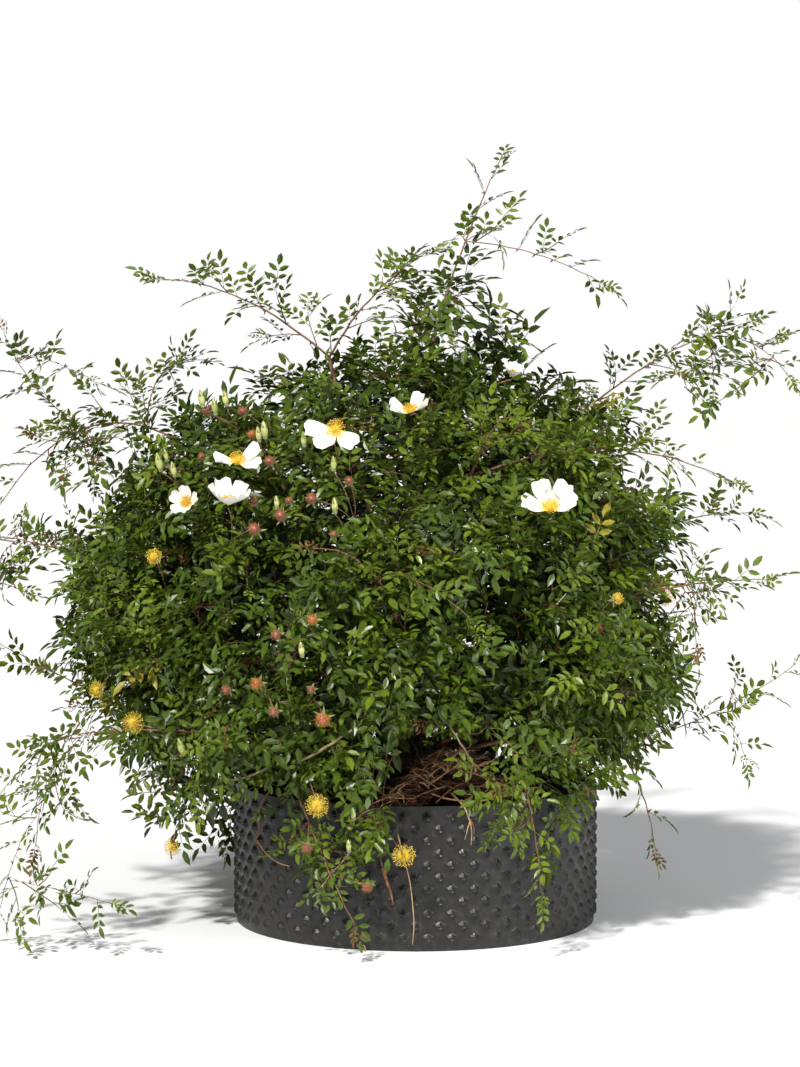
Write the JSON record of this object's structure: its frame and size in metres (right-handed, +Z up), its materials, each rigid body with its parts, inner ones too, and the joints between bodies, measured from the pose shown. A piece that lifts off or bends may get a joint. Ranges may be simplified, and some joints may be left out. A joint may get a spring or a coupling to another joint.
{
  "type": "potted macartney rose",
  "caption": "Arching evergreen climbing rose with white flowers, grown as a bushy shrub in a round container of dimpled black root-training sheet.",
  "frame": {"origin": "centre of the pot's flat underside", "axes": "+Z up, the front of the plant toward -Y, +X to the right of the front"},
  "size_m": [1.1537, 1.0128, 1.0491],
  "materials": {
    "pot_sheet": "satin black, dusty",
    "soil": "rough dry litter on potting soil",
    "old_bark": "rough flaking bark",
    "canes": "smooth red-brown bark with prickles",
    "foliage": "glossy leaves on thin twigs"
  },
  "bodies": {
    "root": {"bough_low_back": "canes", "bough_low_back_left": "canes", "bough_low_back_right": "canes", "bough_low_front_left": "canes", "bough_low_front_right": "canes", "bough_low_left": "canes", "bough_low_right": "canes", "bough_middle_back": "canes", "bough_middle_back_left": "canes", "bough_middle_back_right": "canes", "bough_middle_front": "canes", "bough_middle_front_left": "canes", "bough_middle_front_right": "canes", "bough_top_left": "canes", "bough_top_right": "canes", "bough_upper_back": "canes", "bough_upper_front_left": "canes", "bough_upper_front_right": "canes", "bough_upper_left": "canes", "bough_upper_right": "canes", "foliage_low_back": "foliage", "foliage_low_back_left": "foliage", "foliage_low_back_right": "foliage", "foliage_low_front_left": "foliage", "foliage_low_front_right": "foliage", "foliage_low_left": "foliage", "foliage_low_right": "foliage", "foliage_middle_back": "foliage", "foliage_middle_back_left": "foliage", "foliage_middle_back_right": "foliage", "foliage_middle_front": "foliage", "foliage_middle_front_left": "foliage", "foliage_middle_front_right": "foliage", "foliage_top_left": "foliage", "foliage_top_right": "foliage", "foliage_upper_back": "foliage", "foliage_upper_front_left": "foliage", "foliage_upper_front_right": "foliage", "foliage_upper_left": "foliage", "foliage_upper_right": "foliage", "pot_base": "pot_sheet", "pot_wall": "pot_sheet", "soil": "soil", "stem": "old_bark"}
  },
  "joints": []
}
